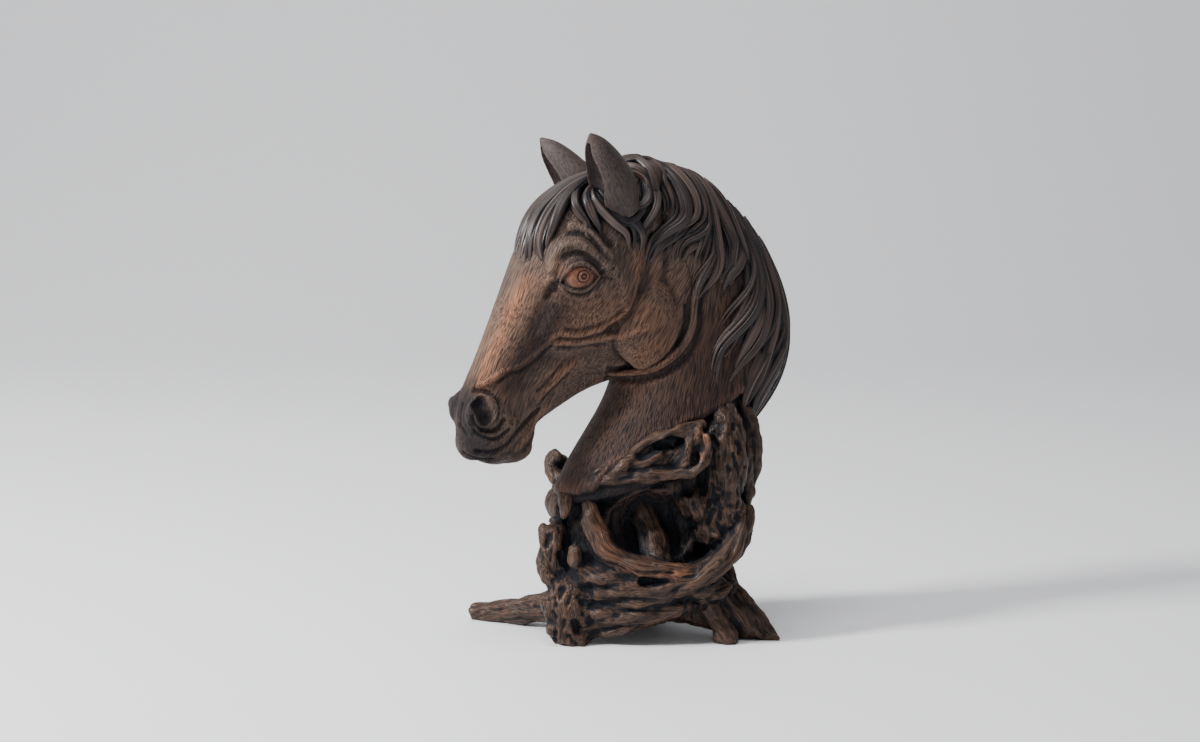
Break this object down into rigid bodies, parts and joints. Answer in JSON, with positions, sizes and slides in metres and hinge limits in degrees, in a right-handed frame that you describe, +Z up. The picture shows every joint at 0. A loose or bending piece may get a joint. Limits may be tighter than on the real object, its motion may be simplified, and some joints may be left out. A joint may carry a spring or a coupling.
{
  "type": "horse head sculpture",
  "caption": "Table sculpture of a horse's head and neck with a flowing mane, rising from twisted driftwood that stands on its own roots.",
  "frame": {"origin": "middle of the bounding box's underside, on the surface that the sculpture stands on", "axes": "+Z up, +X from the muzzle towards the mane, -Y towards the side that the picture shows"},
  "size_m": [0.267, 0.1574, 0.3997],
  "materials": {
    "stained_driftwood": "satin"
  },
  "bodies": {
    "root": {"horse_head_sculpture": "stained_driftwood"}
  },
  "joints": []
}
